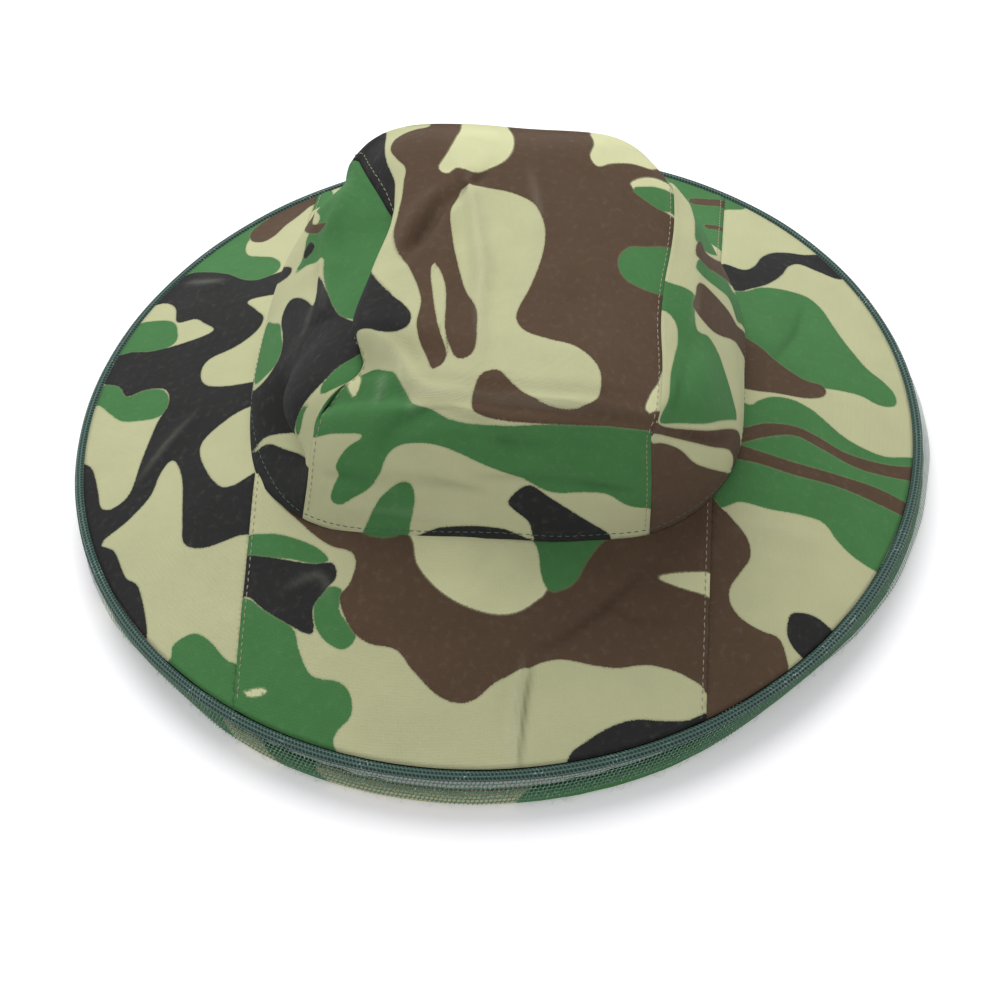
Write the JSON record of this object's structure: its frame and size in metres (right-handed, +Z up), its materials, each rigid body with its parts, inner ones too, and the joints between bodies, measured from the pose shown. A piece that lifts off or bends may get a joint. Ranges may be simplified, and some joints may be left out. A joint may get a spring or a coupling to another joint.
{
  "type": "veil hat",
  "caption": "Pop-up sun hat in camouflage cotton with a sprung hoop in the rim and a mesh bee veil that is folded away under the brim and pulls down.",
  "frame": {"origin": "centre of the rim, on the surface that the hat stands on", "axes": "+Z up out of the crown, -Y towards the front of the hat, +X to its right as seen from the front"},
  "size_m": [0.37, 0.3699, 0.123],
  "materials": {
    "crown_cloth": "plain-weave polyester-cotton, printed camouflage",
    "brim_cloth": "plain-weave polyester-cotton, printed camouflage",
    "hem_cloth": "plain-weave polyester-cotton, printed camouflage",
    "sweatband_cloth": "plain tape",
    "rim_mesh": "knitted mesh tape",
    "veil_net": "knitted mesh",
    "thread": "spun sewing thread",
    "elastic": "braided elastic",
    "spring_wire": "drawn spring steel",
    "sleeve_metal": "crimped steel tube"
  },
  "bodies": {
    "hat": {"crown_strip": "crown_cloth", "crown_side_left": "crown_cloth", "crown_side_right": "crown_cloth", "crown_seam_thread_left": "thread", "crown_seam_thread_right": "thread", "crown_hem_thread": "thread", "sweatband": "sweatband_cloth", "sweatband_thread": "thread", "brim_front_panel": "brim_cloth", "brim_back_panel": "brim_cloth", "brim_left_panel": "brim_cloth", "brim_right_panel": "brim_cloth", "brim_seam_thread_left": "thread", "brim_seam_thread_right": "thread", "rim_hoop": "spring_wire", "hoop_sleeve": "sleeve_metal", "rim_binding": "rim_mesh", "rim_thread": "thread", "veil_band": "rim_mesh", "veil_mesh": "veil_net"},
    "veil_edge": {"veil_hem": "hem_cloth", "veil_hem_elastic": "elastic", "veil_hem_thread": "thread"}
  },
  "joints": [
    {"name": "veil_drop", "type": "slide", "parent": "hat", "child": "veil_edge", "axis": [0, 0, -1], "range_m": [0, 0.28], "deforming": ["veil_mesh"]}
  ]
}
